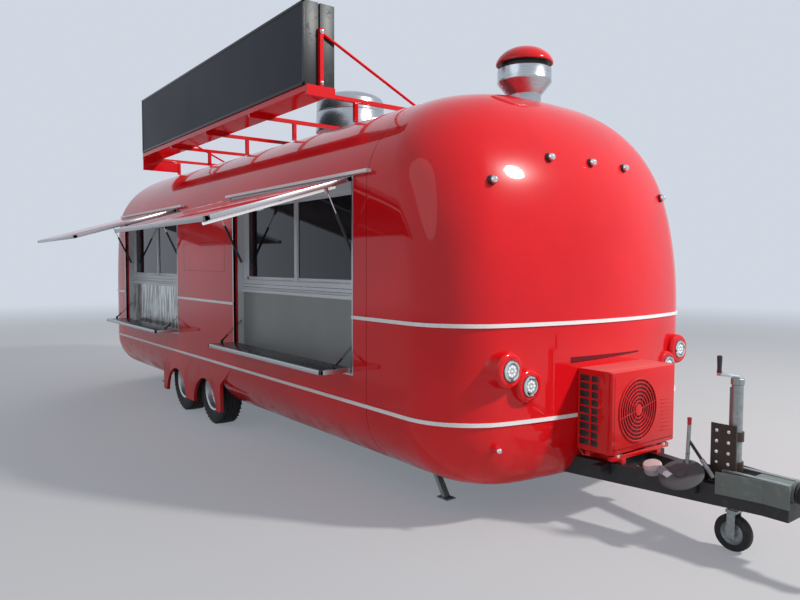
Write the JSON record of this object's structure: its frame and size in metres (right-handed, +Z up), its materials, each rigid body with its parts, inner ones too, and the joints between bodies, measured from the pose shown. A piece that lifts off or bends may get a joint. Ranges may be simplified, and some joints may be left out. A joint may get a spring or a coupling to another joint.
{
  "type": "food trailer",
  "caption": "Food trailer with a rounded body, top-hinged serving hatches over fold-down shelves, tandem axles, drawbar jack, roof sign box and vents.",
  "frame": {"origin": "centre of the ball-coupling socket", "axes": "+X forward along the drawbar, +Y to the trailer's left, +Z up"},
  "size_m": [8.592, 3.4113, 3.44],
  "materials": {
    "red_paint": "gloss",
    "lamp_red": "gloss",
    "trim_white": "satin",
    "frame_white": "satin",
    "glass": "gloss",
    "board_grey": "satin",
    "sign_dark": "matte",
    "stainless": "brushed",
    "floor_board": "matte",
    "galvanised": "galvanised",
    "chassis_dark": "satin",
    "strut_black": "gloss",
    "rod_bright": "polished",
    "bellows_rubber": "matte",
    "tyre": "matte",
    "rim": "satin",
    "steady_steel": "galvanised"
  },
  "bodies": {
    "root": {"ac_bracket": "red_paint", "ac_unit": "red_paint", "axles": "galvanised", "chassis_rails": "chassis_dark", "coupling_bellows": "bellows_rubber", "coupling_head": "chassis_dark", "cross_members": "chassis_dark", "door_hinges": "red_paint", "drawbar": "chassis_dark", "drawbar_fittings": "chassis_dark", "floor": "floor_board", "front_lamps": "lamp_red", "handbrake": "chassis_dark", "hatch_surrounds": "frame_white", "jack_plate": "chassis_dark", "jack_tube": "galvanised", "kitchen_counter": "stainless", "kitchen_units": "stainless", "marker_lamps": "lamp_red", "overrun_housing": "chassis_dark", "rear_lamps": "lamp_red", "shell_front": "red_paint", "shell_middle": "red_paint", "shell_rear": "red_paint", "sign_box": "sign_dark", "sign_frame": "red_paint", "trim_strips": "trim_white", "vent_front": "stainless", "vent_rear": "stainless", "wheel_boxes": "chassis_dark", "wheel_skirts": "red_paint", "window_boards": "board_grey", "window_frames": "frame_white", "window_glass": "glass"},
    "hatch_front": {"hatch_front": "red_paint"},
    "strut_tubes_front": {"strut_tubes_front": "strut_black"},
    "strut_rods_front": {"strut_rods_front": "rod_bright"},
    "shelf_front": {"shelf_front": "red_paint"},
    "shelf_stays_front": {"shelf_stays_front": "strut_black"},
    "wheel_front_left": {"tyre_front_left": "tyre", "rim_front_left": "rim"},
    "wheel_front_right": {"tyre_front_right": "tyre", "rim_front_right": "rim"},
    "steady_front_left": {"steady_front_left": "steady_steel"},
    "steady_front_right": {"steady_front_right": "steady_steel"},
    "hatch_rear": {"hatch_rear": "red_paint"},
    "strut_tubes_rear": {"strut_tubes_rear": "strut_black"},
    "strut_rods_rear": {"strut_rods_rear": "rod_bright"},
    "shelf_rear": {"shelf_rear": "red_paint"},
    "shelf_stays_rear": {"shelf_stays_rear": "strut_black"},
    "wheel_rear_left": {"tyre_rear_left": "tyre", "rim_rear_left": "rim"},
    "wheel_rear_right": {"tyre_rear_right": "tyre", "rim_rear_right": "rim"},
    "steady_rear_left": {"steady_rear_left": "steady_steel"},
    "steady_rear_right": {"steady_rear_right": "steady_steel"},
    "entrance_door": {"entrance_door": "red_paint"},
    "jack_leg": {"jack_leg": "galvanised"},
    "jockey_wheel": {"jockey_wheel": "bellows_rubber"}
  },
  "joints": [
    {"name": "hatch_front_hinge", "type": "hinge", "parent": "root", "child": "hatch_front", "pos_m": [-3.495, -1.2, 1.7], "axis": [-1, 0, 0], "range_deg": [-73, 8]},
    {"name": "strut_tubes_front_pivot", "type": "hinge", "parent": "root", "child": "strut_tubes_front", "pos_m": [-3.495, -1.145, 1.16], "axis": [1, 0, 0], "range_deg": [-28.67, 4.03]},
    {"name": "strut_rods_front_slide", "type": "slide", "parent": "strut_tubes_front", "child": "strut_rods_front", "axis": [0, -0.4396, 0.8982], "range_m": [-0.1173, 0.0154]},
    {"name": "shelf_front_hinge", "type": "hinge", "parent": "root", "child": "shelf_front", "pos_m": [-3.495, -1.2, 0.435], "axis": [-1, 0, 0], "range_deg": [0, 90]},
    {"name": "shelf_stays_front_pivot", "type": "hinge", "parent": "shelf_front", "child": "shelf_stays_front", "pos_m": [-3.495, -1.32, 0.48], "axis": [1, 0, 0], "range_deg": [0, 131.05]},
    {"name": "wheel_front_left_spin", "type": "hinge", "parent": "root", "child": "wheel_front_left", "pos_m": [-5.13, 1.03, -0.08], "axis": [0, 1, 0], "continuous": true},
    {"name": "wheel_front_right_spin", "type": "hinge", "parent": "root", "child": "wheel_front_right", "pos_m": [-5.13, -1.03, -0.08], "axis": [0, 1, 0], "continuous": true},
    {"name": "steady_front_left_pivot", "type": "hinge", "parent": "root", "child": "steady_front_left", "pos_m": [-2.45, 0.7, -0.028], "axis": [0, -1, 0], "range_deg": [0, 55]},
    {"name": "steady_front_right_pivot", "type": "hinge", "parent": "root", "child": "steady_front_right", "pos_m": [-2.45, -0.7, -0.028], "axis": [0, -1, 0], "range_deg": [0, 55]},
    {"name": "hatch_rear_hinge", "type": "hinge", "parent": "root", "child": "hatch_rear", "pos_m": [-6.76, -1.2, 1.7], "axis": [-1, 0, 0], "range_deg": [-73, 8]},
    {"name": "strut_tubes_rear_pivot", "type": "hinge", "parent": "root", "child": "strut_tubes_rear", "pos_m": [-6.76, -1.145, 1.16], "axis": [1, 0, 0], "range_deg": [-28.67, 4.03]},
    {"name": "strut_rods_rear_slide", "type": "slide", "parent": "strut_tubes_rear", "child": "strut_rods_rear", "axis": [0, -0.4396, 0.8982], "range_m": [-0.1173, 0.0154]},
    {"name": "shelf_rear_hinge", "type": "hinge", "parent": "root", "child": "shelf_rear", "pos_m": [-6.76, -1.2, 0.435], "axis": [-1, 0, 0], "range_deg": [0, 90]},
    {"name": "shelf_stays_rear_pivot", "type": "hinge", "parent": "shelf_rear", "child": "shelf_stays_rear", "pos_m": [-6.76, -1.32, 0.48], "axis": [1, 0, 0], "range_deg": [0, 131.05]},
    {"name": "wheel_rear_left_spin", "type": "hinge", "parent": "root", "child": "wheel_rear_left", "pos_m": [-5.91, 1.03, -0.08], "axis": [0, 1, 0], "continuous": true},
    {"name": "wheel_rear_right_spin", "type": "hinge", "parent": "root", "child": "wheel_rear_right", "pos_m": [-5.91, -1.03, -0.08], "axis": [0, 1, 0], "continuous": true},
    {"name": "steady_rear_left_pivot", "type": "hinge", "parent": "root", "child": "steady_rear_left", "pos_m": [-7.51, 0.7, -0.028], "axis": [0, 1, 0], "range_deg": [0, 55]},
    {"name": "steady_rear_right_pivot", "type": "hinge", "parent": "root", "child": "steady_rear_right", "pos_m": [-7.51, -0.7, -0.028], "axis": [0, 1, 0], "range_deg": [0, 55]},
    {"name": "entrance_door_hinge", "type": "hinge", "parent": "root", "child": "entrance_door", "pos_m": [-6.9, 1.208, 0.9], "axis": [0, 0, -1], "range_deg": [0, 110]},
    {"name": "jack_leg_slide", "type": "slide", "parent": "root", "child": "jack_leg", "axis": [0, 0, 1], "range_m": [0, 0.19]},
    {"name": "jockey_wheel_spin", "type": "hinge", "parent": "jack_leg", "child": "jockey_wheel", "pos_m": [-0.655, 0, -0.3], "axis": [0, 1, 0], "continuous": true}
  ],
  "couplings": [
    {"joint": "strut_tubes_front_pivot", "follows": "hatch_front_hinge", "ratio": 0.37906},
    {"joint": "strut_rods_front_slide", "follows": "hatch_front_hinge", "m_per_rad": 0.08891},
    {"joint": "shelf_stays_front_pivot", "follows": "shelf_front_hinge", "ratio": 1.4539},
    {"joint": "strut_tubes_rear_pivot", "follows": "hatch_rear_hinge", "ratio": 0.37906},
    {"joint": "strut_rods_rear_slide", "follows": "hatch_rear_hinge", "m_per_rad": 0.08891},
    {"joint": "shelf_stays_rear_pivot", "follows": "shelf_rear_hinge", "ratio": 1.4539}
  ]
}
